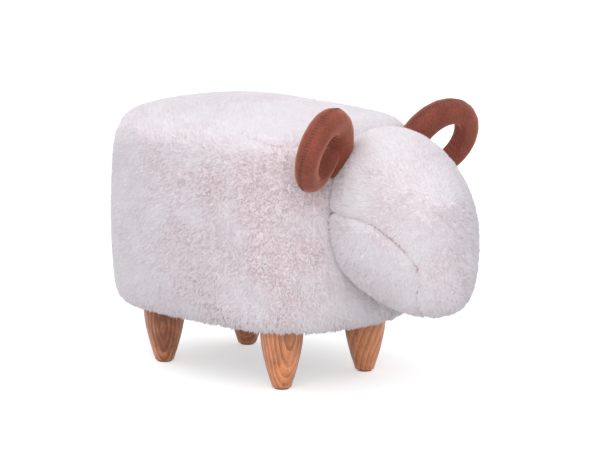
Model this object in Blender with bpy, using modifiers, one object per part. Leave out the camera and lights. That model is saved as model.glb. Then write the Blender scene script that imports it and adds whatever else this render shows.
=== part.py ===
"""Ram footstool: a fur-covered drum seat on four turned legs, with a stuffed head and two horns.

Metres, +Z up, +X towards the head, +Y the animal's left. The origin is on the floor, under the
middle of the stool's length.
"""

import math

import bmesh
import bpy
from mathutils import Euler, Matrix, Vector

# Clearances that every piece shares
FIT = 0.0003
OVERRUN = 0.02
WELD = 0.00001

# The covered body, over the pile of the fur
BODY_LENGTH = 0.440
BODY_WIDTH = 0.332
END_FLAT = 0.052
SEAM_HEIGHT = 0.358
SEAM_INSET = 0.042
CROWN_RISE = 0.016
TOP_ROUND = 0.055
SIDE_DRAW = 0.0045
HEM_HEIGHT = 0.088
HEM_ROUND = 0.035
HEM_INSET = 0.026
HEM_TURN = 0.016
COVER_THICKNESS = 0.012
SIDE_PADDING = 0.012

# The frame inside it
WALL_THICKNESS = 0.003
WALL_SETBACK = 0.002
BOARD_THICKNESS = 0.015
SEAT_DROP = 0.003
DUST_THICKNESS = 0.0008
DUST_MARGIN = 0.002
POST_SIDE = 0.030
POST_GAP = 0.006
POST_EDGE = 0.004

# Legs and their fixings
LEG_MARGIN = 0.0019
LEG_BEARING = math.radians(54.5)
LEG_RADIUS = 0.0296
LEG_FOOT_RADIUS = 0.0120
LEG_FULL_HEIGHT = 0.077
LEG_TOP_CHAMFER = 0.0015
LEG_FOOT_ROUND = 0.0030
LEG_FULLNESS = 1.6
LEG_SHARES = (1.0, 0.84, 0.68, 0.52, 0.38, 0.24, 0.12)
GLIDE_RADIUS = 0.0100
GLIDE_THICKNESS = 0.0016
GLIDE_EDGE = 0.0006
GLIDE_NAIL_RADIUS = 0.0012
GLIDE_NAIL_LENGTH = 0.012
BOLT_RADIUS = 0.0039
BOLT_CHAMFER = 0.0010
BOLT_IN_LEG = 0.028
BOLT_OVER_NUT = 0.003
BOLT_POINT = 0.004
NUT_BARREL_RADIUS = 0.0052
NUT_BARREL_LENGTH = 0.011
NUT_FLANGE_RADIUS = 0.0110
NUT_FLANGE_THICKNESS = 0.0015
SCREW_RADIUS = 0.0020
SCREW_LENGTH = 0.040
SCREW_POINT = 0.005
SCREW_HEAD_RADIUS = 0.0040
SCREW_HEAD_HEIGHT = 0.0028

# The head, an egg that leans back at its top, with its lower end narrower and pushed forwards
HEAD_DEPTH = 0.214
HEAD_WIDTH = 0.191
HEAD_TALL = 0.272
HEAD_LEAN = math.radians(24.6)
HEAD_PUSH = 0.035
HEAD_TAPER_SHARE = 0.335
HEAD_HEIGHT = 0.2365
HEAD_PROUD = 0.165
HEAD_COVER = 0.012
LINING_THICKNESS = 0.0015
CHEEK_FRONT = 0.0868
CHEEK_TOP = 0.0225
CHEEK_ROUND = 0.085

# The horns: one flat tapering curl, sewn on each side at its own height and turn over the head
HORN_SETBACK = 0.0406
HORN_OUT = 0.0195
HORN_LEFT_LIFT = 0.0936
HORN_RIGHT_LIFT = 0.1024
HORN_LEFT_TURN = (math.radians(-20.5), math.radians(23.4), math.radians(-11))
HORN_RIGHT_TURN = (math.radians(-20), math.radians(17.5), math.radians(-19))
HORN_CURL_START = 0.0616
HORN_CURL_END = 0.0320
HORN_FLATTEN_SHARE = 0.864
HORN_START_ANGLE = math.radians(200.2)
HORN_SWEEP = math.radians(316)
HORN_BASE_RADIUS = 0.0207
HORN_TIP_RADIUS = 0.0135
HORN_TIP_SHARES = (0.5, 0.8, 0.95)
HORN_ROOT = 0.030
HORN_SLEEVE = 0.0020
HORN_PLACES = {
    "left": (1, HORN_LEFT_LIFT, HORN_LEFT_TURN),
    "right": (-1, HORN_RIGHT_LIFT, HORN_RIGHT_TURN),
}

# How finely round shapes are cut
CORNER_STEPS = 7
ARC_STEPS = 4
SIDE_STEPS = 4
LEG_SIDES = 20
FOOT_STEPS = 3
SMALL_SIDES = 8
NUT_SIDES = 12
HEAD_SIDES = 24
HEAD_RINGS = 14
REACH_STEPS = 90
CHEEK_STEPS = 8
HORN_STEPS = 18
HORN_ROUNDNESS = 3
SHARP_EDGE = math.radians(40)
DOME_SHARES = (1.0, 0.86, 0.62, 0.34, 0.1)


def head_shape(direction, depth):
    """A point of the head, about its middle, at a depth under the surface that faces a direction."""
    low = min(0, direction.z) ** 2
    slim = 1 - HEAD_TAPER_SHARE * low * math.hypot(direction.x, direction.y)
    point = Vector((
        (HEAD_DEPTH / 2 - depth) * direction.x * slim + HEAD_PUSH * low,
        (HEAD_WIDTH / 2 - depth) * direction.y * slim,
        (HEAD_TALL / 2 - depth) * direction.z,
    ))
    point.rotate(Euler((0, -HEAD_LEAN, 0)))
    return point


def head_reach():
    """How far the head's foremost point lies before its middle."""
    angles = [math.pi / 2 * step / REACH_STEPS for step in range(-REACH_STEPS, REACH_STEPS + 1)]
    return max(head_shape(Vector((math.cos(angle), 0, math.sin(angle))), 0).x for angle in angles)


# Heights and places that follow from the sizes above
OVERALL_LENGTH = BODY_LENGTH + HEAD_PROUD
BODY_X = -HEAD_PROUD / 2
BODY_CORNER = (BODY_WIDTH - END_FLAT) / 2
BOARD_UNDER = HEM_HEIGHT + COVER_THICKNESS + FIT
BOARD_TOP = BOARD_UNDER + BOARD_THICKNESS
ROUND_START = SEAM_HEIGHT - TOP_ROUND
SEAT_TOP = ROUND_START - SEAT_DROP
SEAT_UNDER = SEAT_TOP - BOARD_THICKNESS
HEM_START = HEM_HEIGHT + HEM_ROUND
FULL_HEIGHT = (ROUND_START + HEM_START) / 2
WALL_INSET = COVER_THICKNESS + SIDE_PADDING
BOARD_INSET = WALL_INSET + WALL_THICKNESS + FIT
LEG_TOP = BOARD_UNDER - DUST_THICKNESS - 2 * FIT
LONG_SIDE = BODY_LENGTH / 2 - BODY_CORNER
SHORT_SIDE = BODY_WIDTH / 2 - BODY_CORNER
LEG_REACH = BODY_CORNER - HEM_INSET - HEM_TURN - LEG_MARGIN - LEG_RADIUS
LEG_X = LONG_SIDE + LEG_REACH * math.cos(LEG_BEARING)
LEG_Y = SHORT_SIDE + LEG_REACH * math.sin(LEG_BEARING)
HEAD_X = OVERALL_LENGTH / 2 - head_reach()

FUR = ((0.86, 0.83, 0.83), 0.95, 0.0)
SUEDE = ((0.31, 0.09, 0.055), 0.8, 0.0)
LEG_WOOD = ((0.50, 0.22, 0.09), 0.45, 0.0)
PINE = ((0.72, 0.52, 0.30), 0.7, 0.0)
PLYWOOD = ((0.62, 0.45, 0.27), 0.7, 0.0)
HARDBOARD = ((0.30, 0.18, 0.10), 0.8, 0.0)
FOAM = ((0.85, 0.80, 0.55), 0.9, 0.0)
STUFFING = ((0.90, 0.90, 0.90), 0.95, 0.0)
LINING = ((0.80, 0.80, 0.80), 0.9, 0.0)
DUST_CLOTH = ((0.02, 0.02, 0.02), 0.9, 0.0)
GLIDE_PLASTIC = ((0.03, 0.025, 0.02), 0.5, 0.0)
ZINC = ((0.62, 0.62, 0.60), 0.35, 1.0)


# Scene and object helpers
def clear_scene():
    for obj in list(bpy.data.objects):
        bpy.data.objects.remove(obj, do_unlink=True)


def new_collection(name, parent):
    collection = bpy.data.collections.new(name)
    parent.children.link(collection)
    return collection


def make_material(name, finish):
    colour, roughness, metallic = finish
    material = bpy.data.materials.new(name)
    material.use_nodes = True
    shader = material.node_tree.nodes["Principled BSDF"]
    shader.inputs["Base Color"].default_value = (*colour, 1)
    shader.inputs["Roughness"].default_value = roughness
    shader.inputs["Metallic"].default_value = metallic
    material.diffuse_color = (*colour, 1)
    return material


def add_part(name, mesh, finish, location=(0, 0, 0)):
    mesh.name = name
    mesh.materials.clear()
    mesh.materials.append(make_material(name, finish))
    mesh.shade_smooth()
    mesh.set_sharp_from_angle(angle=SHARP_EDGE)
    obj = bpy.data.objects.new(name, mesh)
    obj.location = location
    PARTS.objects.link(obj)
    return obj


def add_cutter(name, mesh, collection=None, location=(0, 0, 0)):
    obj = bpy.data.objects.new(name, mesh)
    obj.location = location
    obj.hide_render = True
    obj.display_type = "WIRE"
    (collection or CUTTERS).objects.link(obj)
    return obj


def add_boolean(obj, cutter, operation="DIFFERENCE"):
    modifier = obj.modifiers.new(f"{operation.title()} {cutter.name}", "BOOLEAN")
    modifier.operation = operation
    modifier.solver = "EXACT"
    if isinstance(cutter, bpy.types.Collection):
        modifier.operand_type = "COLLECTION"
        modifier.collection = cutter
    else:
        modifier.object = cutter


def mesh_of(bm):
    bmesh.ops.recalc_face_normals(bm, faces=bm.faces)
    mesh = bpy.data.meshes.new("shape")
    bm.to_mesh(mesh)
    bm.free()
    return mesh


# Lofts: rows of points, each row with as many points, skinned into one closed shape
def loft(rows, close_rows=False, close_columns=True):
    bm = bmesh.new()
    grid = [[bm.verts.new(point) for point in row] for row in rows]
    row_count = len(grid)
    column_count = len(grid[0])
    for i in range(row_count if close_rows else row_count - 1):
        for j in range(column_count if close_columns else column_count - 1):
            upper = grid[i]
            lower = grid[(i + 1) % row_count]
            k = (j + 1) % column_count
            bm.faces.new((upper[j], upper[k], lower[k], lower[j]))
    if not close_rows:
        bm.faces.new(grid[0])
        bm.faces.new(reversed(grid[-1]))
    if not close_columns:
        bm.faces.new([row[0] for row in grid])
        bm.faces.new([row[-1] for row in reversed(grid)])
    return mesh_of(bm)


def prism(outline, low, high):
    """The outline's x and z, drawn out along y from low to high."""
    bm = bmesh.new()
    face = bm.faces.new([bm.verts.new((x, low, z)) for x, z in outline])
    moved = bmesh.ops.extrude_face_region(bm, geom=[face])
    verts = [v for v in moved["geom"] if isinstance(v, bmesh.types.BMVert)]
    bmesh.ops.translate(bm, verts=verts, vec=(0, high - low, 0))
    return mesh_of(bm)


# Turned shapes: a profile of (radius, height) points, run down its outer side from top to bottom
def turned_mesh(profile):
    mesh = bpy.data.meshes.new("profile")
    edges = [(i, i + 1) for i in range(len(profile) - 1)]
    mesh.from_pydata([(radius, 0, height) for radius, height in profile], edges, [])
    return mesh


def add_turning(obj, sides):
    modifier = obj.modifiers.new("Turning", "SCREW")
    modifier.steps = sides
    modifier.render_steps = sides
    modifier.use_merge_vertices = True
    modifier.merge_threshold = WELD
    modifier.use_smooth_shade = False


def turned(name, profile, finish, sides, location):
    obj = add_part(name, turned_mesh(profile), finish, location)
    add_turning(obj, sides)
    return obj


def turned_cutter(name, profile, sides, location, collection):
    obj = add_cutter(name, turned_mesh(profile), collection, location)
    add_turning(obj, sides)
    return obj


# The body's plan is a rounded oblong, drawn in by an inset at each height
def plan_ring(inset, height, shrink=1.0, half=None):
    radius = BODY_CORNER - inset
    ring = []
    for quarter, (side_x, side_y) in enumerate([(1, 1), (-1, 1), (-1, -1), (1, -1)]):
        for step in range(CORNER_STEPS + 1):
            angle = math.pi / 2 * (quarter + step / CORNER_STEPS)
            x = side_x * LONG_SIDE + radius * math.cos(angle)
            y = side_y * SHORT_SIDE + radius * math.sin(angle)
            ring.append(Vector((BODY_X + x * shrink, y * shrink, height)))
    return split_ring(ring, half) if half else ring


def split_ring(ring, side):
    """The half of a ring on one side, ended at the sewn lines over the front and the back."""
    count = len(ring) // 2
    kept = ring[:count] if side > 0 else ring[count:]
    ends = [kept[0].copy(), kept[-1].copy()]
    for end in ends:
        end.y = side * FIT
    return [ends[0], *kept, ends[1]]


def side_inset(height, depth):
    """The sides swell to their fullest half way up, and draw in above and below."""
    reach = (ROUND_START - HEM_START) / 2
    return depth + SIDE_DRAW * ((height - FULL_HEIGHT) / reach) ** 2


def top_round(depth):
    """(inset, height) from the top seam over the round edge to the side, at a depth in the cover."""
    edge = side_inset(ROUND_START, depth)
    points = []
    for step in range(ARC_STEPS + 1):
        angle = math.pi / 2 * step / ARC_STEPS
        inset = SEAM_INSET - (SEAM_INSET - edge) * math.sin(angle)
        points.append((inset, ROUND_START + (TOP_ROUND - depth) * math.cos(angle)))
    return points


def hem_round(depth):
    """(inset, height) from the side round the lower edge and in under the board."""
    edge = side_inset(HEM_START, depth)
    points = []
    for step in range(ARC_STEPS + 1):
        angle = math.pi / 2 * step / ARC_STEPS
        inset = HEM_INSET - (HEM_INSET - edge) * math.cos(angle)
        points.append((inset, HEM_START - (HEM_ROUND - depth) * math.sin(angle)))
    return [*points, (HEM_INSET + HEM_TURN, HEM_HEIGHT + depth)]


def side_rows(depth, top, bottom):
    points = []
    for step in range(1, SIDE_STEPS):
        height = top + (bottom - top) * step / SIDE_STEPS
        points.append((side_inset(height, depth), height))
    return points


def cover_profile(depth):
    return [*top_round(depth), *side_rows(depth, ROUND_START, HEM_START), *hem_round(depth)]


def dome_rings(depth, gap=0.0):
    """Rings of the seat's crown, from its middle out to the seam."""
    rings = []
    for share in reversed(DOME_SHARES):
        height = SEAM_HEIGHT + CROWN_RISE * (1 - share**2) - depth
        rings.append(plan_ring(SEAM_INSET + gap, height, share))
    return rings


def body_form(depth):
    """The whole covered body as one closed form, for cutting what is sewn to it."""
    rings = dome_rings(depth)[:-1]
    rings += [plan_ring(inset, height) for inset, height in cover_profile(depth)]
    return loft(rings)


# Fur cover: a top panel and two side panels, sewn at the top edge, the front and the back
def make_body_cover():
    top_panel = dome_rings(0, FIT) + dome_rings(COVER_THICKNESS, FIT)[::-1]
    add_part("cover_top", loft(top_panel), FUR)
    outer = cover_profile(0)
    inner = cover_profile(COVER_THICKNESS)
    for name, side in (("left", 1), ("right", -1)):
        rows = [plan_ring(inset, height, half=side) for inset, height in outer + inner[::-1]]
        mesh = loft(rows, close_rows=True, close_columns=False)
        add_part(f"cover_side_{name}", mesh, FUR)


# Upholstery under the cover
def make_padding():
    depth = COVER_THICKNESS + FIT
    rings = dome_rings(depth)[:-1]
    rings += [plan_ring(inset, height) for inset, height in top_round(depth)]
    foot = SEAT_TOP + FIT
    rings.append(plan_ring(side_inset(foot, depth), foot))
    add_part("seat_foam", loft(rings), FOAM)

    outer = [SEAT_TOP + (HEM_START - SEAT_TOP) * step / SIDE_STEPS for step in range(SIDE_STEPS + 1)]
    rings = [plan_ring(side_inset(height, depth), height) for height in outer]
    inner_inset = WALL_INSET - FIT
    rings += [plan_ring(inner_inset, height) for height in (outer[-1], outer[0])]
    add_part("side_wadding", loft(rings, close_rows=True), STUFFING)


def make_wall():
    low = BOARD_UNDER + WALL_SETBACK
    inner = WALL_INSET + WALL_THICKNESS
    corners = ((WALL_INSET, SEAT_TOP), (WALL_INSET, low), (inner, low), (inner, SEAT_TOP))
    rings = [plan_ring(inset, height) for inset, height in corners]
    add_part("side_wall", loft(rings, close_rows=True), HARDBOARD)


# Plywood boards, with the posts between them
def screw_profile(grow, head_overrun):
    """A countersunk wood screw that points up, its head's flat face at zero."""
    tip = SCREW_LENGTH + grow
    head = SCREW_HEAD_RADIUS + grow
    shank = SCREW_RADIUS + grow
    points = [(0, tip), (shank, tip - SCREW_POINT), (shank, SCREW_HEAD_HEIGHT + grow), (head, 0)]
    if head_overrun:
        points.append((head, -head_overrun))
    return [*points, (0, -head_overrun)]


def flipped(profile):
    return [(radius, -height) for radius, height in reversed(profile)]


def post_places():
    end_x = LEG_X + NUT_FLANGE_RADIUS + POST_GAP + POST_SIDE / 2
    middle_y = BODY_WIDTH / 2 - BOARD_INSET - POST_EDGE - POST_SIDE / 2
    return {
        "front_left": (BODY_X + end_x, LEG_Y),
        "front_right": (BODY_X + end_x, -LEG_Y),
        "middle_left": (BODY_X, middle_y),
        "middle_right": (BODY_X, -middle_y),
        "back_left": (BODY_X - end_x, LEG_Y),
        "back_right": (BODY_X - end_x, -LEG_Y),
    }


def leg_places():
    return {
        "front_left": (BODY_X + LEG_X, LEG_Y),
        "front_right": (BODY_X + LEG_X, -LEG_Y),
        "back_left": (BODY_X - LEG_X, LEG_Y),
        "back_right": (BODY_X - LEG_X, -LEG_Y),
    }


def make_board(name, low, high, bores):
    rings = [plan_ring(BOARD_INSET, height) for height in (high, low)]
    board = add_part(name, loft(rings), PLYWOOD)
    add_boolean(board, bores)


def make_posts(lower_bores, upper_bores):
    low = BOARD_TOP + FIT
    high = SEAT_UNDER - FIT
    grown = screw_profile(FIT, OVERRUN)
    for place, (x, y) in post_places().items():
        bm = bmesh.new()
        size = Matrix.Diagonal((POST_SIDE, POST_SIDE, high - low, 1))
        bmesh.ops.create_cube(bm, size=1, matrix=size)
        middle = (x, y, (low + high) / 2)
        post = add_part(f"post_{place}", mesh_of(bm), PINE, middle)
        lower = (x, y, BOARD_UNDER + FIT)
        upper = (x, y, SEAT_TOP - FIT)
        add_boolean(post, turned_cutter(f"lower_{place}", grown, SMALL_SIDES, lower, lower_bores))
        upper_cut = turned_cutter(f"upper_{place}", flipped(grown), SMALL_SIDES, upper, upper_bores)
        add_boolean(post, upper_cut)
        screw = screw_profile(0, 0)
        turned(f"screw_lower_{place}", screw, ZINC, SMALL_SIDES, lower)
        turned(f"screw_upper_{place}", flipped(screw), ZINC, SMALL_SIDES, upper)


# A thin black cloth closes the underside, inside the turned-in hem
def make_dust_cover(bores):
    top = BOARD_UNDER - FIT
    inset = HEM_INSET + HEM_TURN + DUST_MARGIN
    rings = [plan_ring(inset, height) for height in (top, top - DUST_THICKNESS)]
    cloth = add_part("dust_cover", loft(rings), DUST_CLOTH)
    add_boolean(cloth, bores)


# Turned legs: a bullet that swells from a narrow rounded foot to its full width below the body
def leg_radius(height):
    swell = 1 - (1 - height / LEG_FULL_HEIGHT) ** LEG_FULLNESS
    return LEG_FOOT_RADIUS + (LEG_RADIUS - LEG_FOOT_RADIUS) * swell


def leg_profile():
    bore = BOLT_RADIUS + FIT
    bore_end = LEG_TOP - BOLT_IN_LEG - FIT
    foot = GLIDE_THICKNESS + FIT
    points = [
        (0, bore_end - BOLT_POINT),
        (bore, bore_end),
        (bore, LEG_TOP),
        (LEG_RADIUS - LEG_TOP_CHAMFER, LEG_TOP),
        (LEG_RADIUS, LEG_TOP - LEG_TOP_CHAMFER),
    ]
    for share in LEG_SHARES:
        height = LEG_FULL_HEIGHT * share
        points.append((leg_radius(height), height))
    edge = foot + LEG_FOOT_ROUND
    for step in range(FOOT_STEPS + 1):
        angle = math.pi / 2 * step / FOOT_STEPS
        radius = leg_radius(edge) - LEG_FOOT_ROUND * (1 - math.cos(angle))
        points.append((radius, edge - LEG_FOOT_ROUND * math.sin(angle)))
    nail = GLIDE_NAIL_RADIUS + FIT
    nail_end = GLIDE_THICKNESS + GLIDE_NAIL_LENGTH + FIT
    return [*points, (nail, foot), (nail, nail_end), (0, nail_end)]


def glide_profile():
    nail_top = GLIDE_THICKNESS + GLIDE_NAIL_LENGTH
    return [
        (0, nail_top),
        (GLIDE_NAIL_RADIUS, nail_top - GLIDE_NAIL_RADIUS),
        (GLIDE_NAIL_RADIUS, GLIDE_THICKNESS),
        (GLIDE_RADIUS, GLIDE_THICKNESS),
        (GLIDE_RADIUS, GLIDE_EDGE),
        (GLIDE_RADIUS - GLIDE_EDGE, 0),
        (0, 0),
    ]


def bolt_profile():
    top = BOARD_TOP + FIT + NUT_FLANGE_THICKNESS + BOLT_OVER_NUT
    low = LEG_TOP - BOLT_IN_LEG
    return [
        (0, top),
        (BOLT_RADIUS - BOLT_CHAMFER, top),
        (BOLT_RADIUS, top - BOLT_CHAMFER),
        (BOLT_RADIUS, low),
        (0, low - BOLT_POINT),
    ]


def nut_profile():
    under = BOARD_TOP + FIT
    top = under + NUT_FLANGE_THICKNESS
    bore = BOLT_RADIUS + FIT
    low = under - NUT_BARREL_LENGTH
    return [
        (bore, low),
        (bore, top),
        (NUT_FLANGE_RADIUS, top),
        (NUT_FLANGE_RADIUS, under),
        (NUT_BARREL_RADIUS, under),
        (NUT_BARREL_RADIUS, low),
        (bore, low),
    ]


def make_legs(nut_bores, bolt_bores):
    for place, (x, y) in leg_places().items():
        turned(f"leg_{place}", leg_profile(), LEG_WOOD, LEG_SIDES, (x, y, 0))
        turned(f"glide_{place}", glide_profile(), GLIDE_PLASTIC, NUT_SIDES, (x, y, 0))
        turned(f"hanger_bolt_{place}", bolt_profile(), ZINC, NUT_SIDES, (x, y, 0))
        turned(f"tee_nut_{place}", nut_profile(), ZINC, NUT_SIDES, (x, y, 0))
        for name, radius, collection in (
            ("nut_bore", NUT_BARREL_RADIUS + FIT, nut_bores),
            ("bolt_bore", BOLT_RADIUS + FIT, bolt_bores),
        ):
            high = BOARD_TOP + OVERRUN
            low = LEG_TOP - OVERRUN
            bore = [(0, high), (radius, high), (radius, low), (0, low)]
            turned_cutter(f"{name}_{place}", bore, NUT_SIDES, (x, y, 0), collection)


# Stuffed head: an egg-shaped skin of three fur panels over a soft core
def head_form(depth):
    bm = bmesh.new()
    bmesh.ops.create_uvsphere(bm, u_segments=HEAD_SIDES, v_segments=HEAD_RINGS, radius=1)
    middle = Vector((HEAD_X, 0, HEAD_HEIGHT))
    for vert in bm.verts:
        vert.co = middle + head_shape(vert.co, depth)
    return mesh_of(bm)


def cheek_outline(grow):
    """The side view of a cheek panel: level along its top, then round and down behind the nose."""
    front = HEAD_X + CHEEK_FRONT + grow
    top = HEAD_HEIGHT + CHEEK_TOP + grow
    radius = CHEEK_ROUND + grow
    low = HEAD_HEIGHT - HEAD_TALL
    back = HEAD_X - HEAD_DEPTH
    points = [(back, top)]
    for step in range(CHEEK_STEPS + 1):
        angle = math.pi / 2 * (1 - step / CHEEK_STEPS)
        x = front - radius + radius * math.cos(angle)
        z = top - radius + radius * math.sin(angle)
        points.append((x, z))
    return [*points, (front, low), (back, low)]


def make_head(body_cut):
    hollow = add_cutter("head_hollow", head_form(HEAD_COVER))
    both_cheeks = add_cutter("cheek_region", prism(cheek_outline(FIT), -HEAD_WIDTH, HEAD_WIDTH))
    face = add_part("head_face_panel", head_form(0), FUR)
    for cutter in (hollow, body_cut, both_cheeks):
        add_boolean(face, cutter)
    for name, side in (("left", 1), ("right", -1)):
        low, high = sorted((side * FIT, side * HEAD_WIDTH))
        region = add_cutter(f"cheek_region_{name}", prism(cheek_outline(-FIT), low, high))
        cheek = add_part(f"head_cheek_panel_{name}", head_form(0), FUR)
        for cutter in (hollow, body_cut):
            add_boolean(cheek, cutter)
        add_boolean(cheek, region, "INTERSECT")

    lining_depth = -FIT - LINING_THICKNESS
    lining_face = add_cutter("lining_face", body_form(lining_depth))
    lining = add_part("head_lining", head_form(HEAD_COVER + FIT), LINING)
    add_boolean(lining, body_cut)
    add_boolean(lining, lining_face, "INTERSECT")
    core_back = add_cutter("core_back", body_form(lining_depth - FIT))
    core = add_part("head_stuffing", head_form(HEAD_COVER + FIT), STUFFING)
    add_boolean(core, core_back)


# Horns: a tapering tube that curls out, over, down and back in
def horn_radius(share):
    """The tube tapers evenly from its base to its tip."""
    return HORN_BASE_RADIUS + (HORN_TIP_RADIUS - HORN_BASE_RADIUS) * share


def horn_point(share, place):
    side, lift, turn = HORN_PLACES[place]
    angle = HORN_START_ANGLE - HORN_SWEEP * share
    curl = HORN_CURL_START + (HORN_CURL_END - HORN_CURL_START) * share
    local = Vector((0, curl * HORN_FLATTEN_SHARE * math.cos(angle), curl * math.sin(angle)))
    local.rotate(Euler(turn))
    middle = Vector((HEAD_X - HORN_SETBACK, HEAD_WIDTH / 2 + HORN_OUT, HEAD_HEIGHT + lift))
    point = local + middle
    point.y *= side
    return point


def horn_path(place, depth, root):
    """(point, radius) pairs along the horn, from its root in the head to its half-round tip."""
    start = horn_point(0, place)
    heading = (horn_point(1 / HORN_STEPS, place) - start).normalized()
    path = [(start - heading * root, horn_radius(0) - depth)]
    for step in range(HORN_STEPS + 1):
        share = step / HORN_STEPS
        path.append((horn_point(share, place), horn_radius(share) - depth))
    end, radius = path[-1]
    heading = (end - path[-2][0]).normalized()
    for share in HORN_TIP_SHARES:
        path.append((end + heading * radius * share, radius * math.sqrt(1 - share**2)))
    return path


def horn_tube(place, depth, root):
    path = horn_path(place, depth, root)
    curve = bpy.data.curves.new("horn", "CURVE")
    curve.dimensions = "3D"
    curve.bevel_depth = HORN_BASE_RADIUS
    curve.bevel_resolution = HORN_ROUNDNESS
    curve.use_fill_caps = True
    spline = curve.splines.new("POLY")
    spline.points.add(len(path) - 1)
    for point, (position, radius) in zip(spline.points, path):
        point.co = (*position, 1)
        point.radius = radius / HORN_BASE_RADIUS
    guide = bpy.data.objects.new("horn_guide", curve)
    CUTTERS.objects.link(guide)
    graph = bpy.context.evaluated_depsgraph_get()
    mesh = bpy.data.meshes.new_from_object(guide.evaluated_get(graph))
    bpy.data.objects.remove(guide)
    bm = bmesh.new()
    bm.from_mesh(mesh)
    bmesh.ops.remove_doubles(bm, verts=bm.verts, dist=WELD)
    return mesh_of(bm)


def make_horns(body_cut):
    head_cut = add_cutter("head_outside", head_form(-FIT))
    for place in HORN_PLACES:
        sleeve = add_part(f"horn_sleeve_{place}", horn_tube(place, 0, HORN_ROOT), SUEDE)
        inside = add_cutter(f"horn_inside_{place}", horn_tube(place, HORN_SLEEVE, HORN_ROOT + OVERRUN))
        stuffing_mesh = horn_tube(place, HORN_SLEEVE + FIT, HORN_ROOT)
        stuffing = add_part(f"horn_stuffing_{place}", stuffing_mesh, STUFFING)
        add_boolean(sleeve, inside)
        for piece in (sleeve, stuffing):
            add_boolean(piece, head_cut)
            add_boolean(piece, body_cut)


clear_scene()
PARTS = new_collection("ram_footstool", bpy.context.scene.collection)
CUTTERS = new_collection("cutters", bpy.context.scene.collection)
bottom_bores = new_collection("bottom_board_bores", CUTTERS)
seat_bores = new_collection("seat_board_bores", CUTTERS)
dust_bores = new_collection("dust_cover_bores", CUTTERS)

make_body_cover()
make_padding()
make_wall()
make_posts(bottom_bores, seat_bores)
make_legs(bottom_bores, dust_bores)
make_board("bottom_board", BOARD_UNDER, BOARD_TOP, bottom_bores)
make_board("seat_board", SEAT_UNDER, SEAT_TOP, seat_bores)
make_dust_cover(dust_bores)
body_outside = add_cutter("body_outside", body_form(-FIT))
make_head(body_outside)
make_horns(body_outside)
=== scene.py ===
"""Looks of the ram footstool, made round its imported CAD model. Metres, +Z up, +X towards the head."""

import math
from types import SimpleNamespace

import bmesh
import bpy
import numpy as np
from mathutils import Euler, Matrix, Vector, kdtree


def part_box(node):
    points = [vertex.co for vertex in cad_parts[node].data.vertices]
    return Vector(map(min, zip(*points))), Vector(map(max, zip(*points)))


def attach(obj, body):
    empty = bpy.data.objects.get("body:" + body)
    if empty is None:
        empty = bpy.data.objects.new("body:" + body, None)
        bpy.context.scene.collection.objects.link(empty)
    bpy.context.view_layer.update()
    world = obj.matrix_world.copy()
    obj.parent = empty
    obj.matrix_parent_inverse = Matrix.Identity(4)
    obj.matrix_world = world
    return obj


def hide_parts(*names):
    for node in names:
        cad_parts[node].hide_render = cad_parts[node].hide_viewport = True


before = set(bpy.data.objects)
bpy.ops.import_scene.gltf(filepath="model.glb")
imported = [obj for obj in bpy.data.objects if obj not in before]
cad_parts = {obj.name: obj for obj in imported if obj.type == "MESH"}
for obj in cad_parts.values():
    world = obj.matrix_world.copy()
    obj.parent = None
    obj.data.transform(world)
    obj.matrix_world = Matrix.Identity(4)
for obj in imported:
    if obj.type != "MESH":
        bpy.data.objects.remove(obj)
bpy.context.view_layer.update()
bpy.ops.object.select_all(action="DESELECT")


# Boards and posts: two sanded plywood boards held apart by six planed pine posts. They are sawn
# from sheet and batten and screwed together, so each shows straight grain along its length.
PLYWOOD = {"Light": (0.66, 0.47, 0.28, 1), "Dark": (0.46, 0.29, 0.15, 1), "Rings": 12.0, "Wander": 5.0}
PINE = {"Light": (0.78, 0.58, 0.34, 1), "Dark": (0.55, 0.34, 0.16, 1), "Rings": 70.0, "Wander": 1.5}


def set_inputs(tree, node, values):
    """Gives each named input of a node its value, or the link that it takes its value from."""
    for name, value in values.items():
        if isinstance(value, bpy.types.NodeSocket):
            tree.links.new(value, node.inputs[name])
        else:
            node.inputs[name].default_value = value


def adjust(thing, **settings):
    for name, value in settings.items():
        setattr(thing, name, value)


def add_node(tree, kind, values=None, **settings):
    """A shader node with its settings, and with a value or a link for each named input."""
    node = tree.nodes.new("ShaderNode" + kind)
    adjust(node, **settings)
    set_inputs(tree, node, values or {})
    return node


def calculate(tree, operation, *values):
    return add_node(tree, "Math", dict(enumerate(values)), operation=operation).outputs[0]


def remap(tree, value, smooth=False, **limits):
    """A value moved from one range to another, each of which is zero to one where no limit is given."""
    named = {name.replace("_", " ").title(): limit for name, limit in limits.items()}
    kind = "SMOOTHSTEP" if smooth else "LINEAR"
    return add_node(tree, "MapRange", {"Value": value, **named}, interpolation_type=kind).outputs[0]


def blend(tree, share, first, second, kind="MIX"):
    """The first colour at a share of zero and the second at one."""
    mixed = add_node(tree, "Mix", {0: share, 6: first, 7: second}, data_type="RGBA", blend_type=kind)
    return mixed.outputs[2]


def noise(tree, vector, scale, detail):
    return add_node(tree, "TexNoise", {"Vector": vector, "Scale": scale, "Detail": detail}).outputs["Fac"]


def new_effect(name, inputs, outputs):
    """An empty shader group: its tree, its inputs' sockets and its output node."""
    group = bpy.data.node_groups.new(name, "ShaderNodeTree")
    for label, value in inputs.items():
        kind = {3: "Vector", 4: "Color"}[len(value)] if isinstance(value, tuple) else "Float"
        socket = group.interface.new_socket(label, in_out="INPUT", socket_type="NodeSocket" + kind)
        socket.default_value = value
    for label, kind in outputs.items():
        group.interface.new_socket(label, in_out="OUTPUT", socket_type="NodeSocket" + kind)
    inside = group.nodes.new("NodeGroupInput")
    return group, inside.outputs, group.nodes.new("NodeGroupOutput")


def use_effect(tree, group, values):
    node = tree.nodes.new("ShaderNodeGroup")
    node.node_tree = group
    set_inputs(tree, node, values)
    return node.outputs


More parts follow.
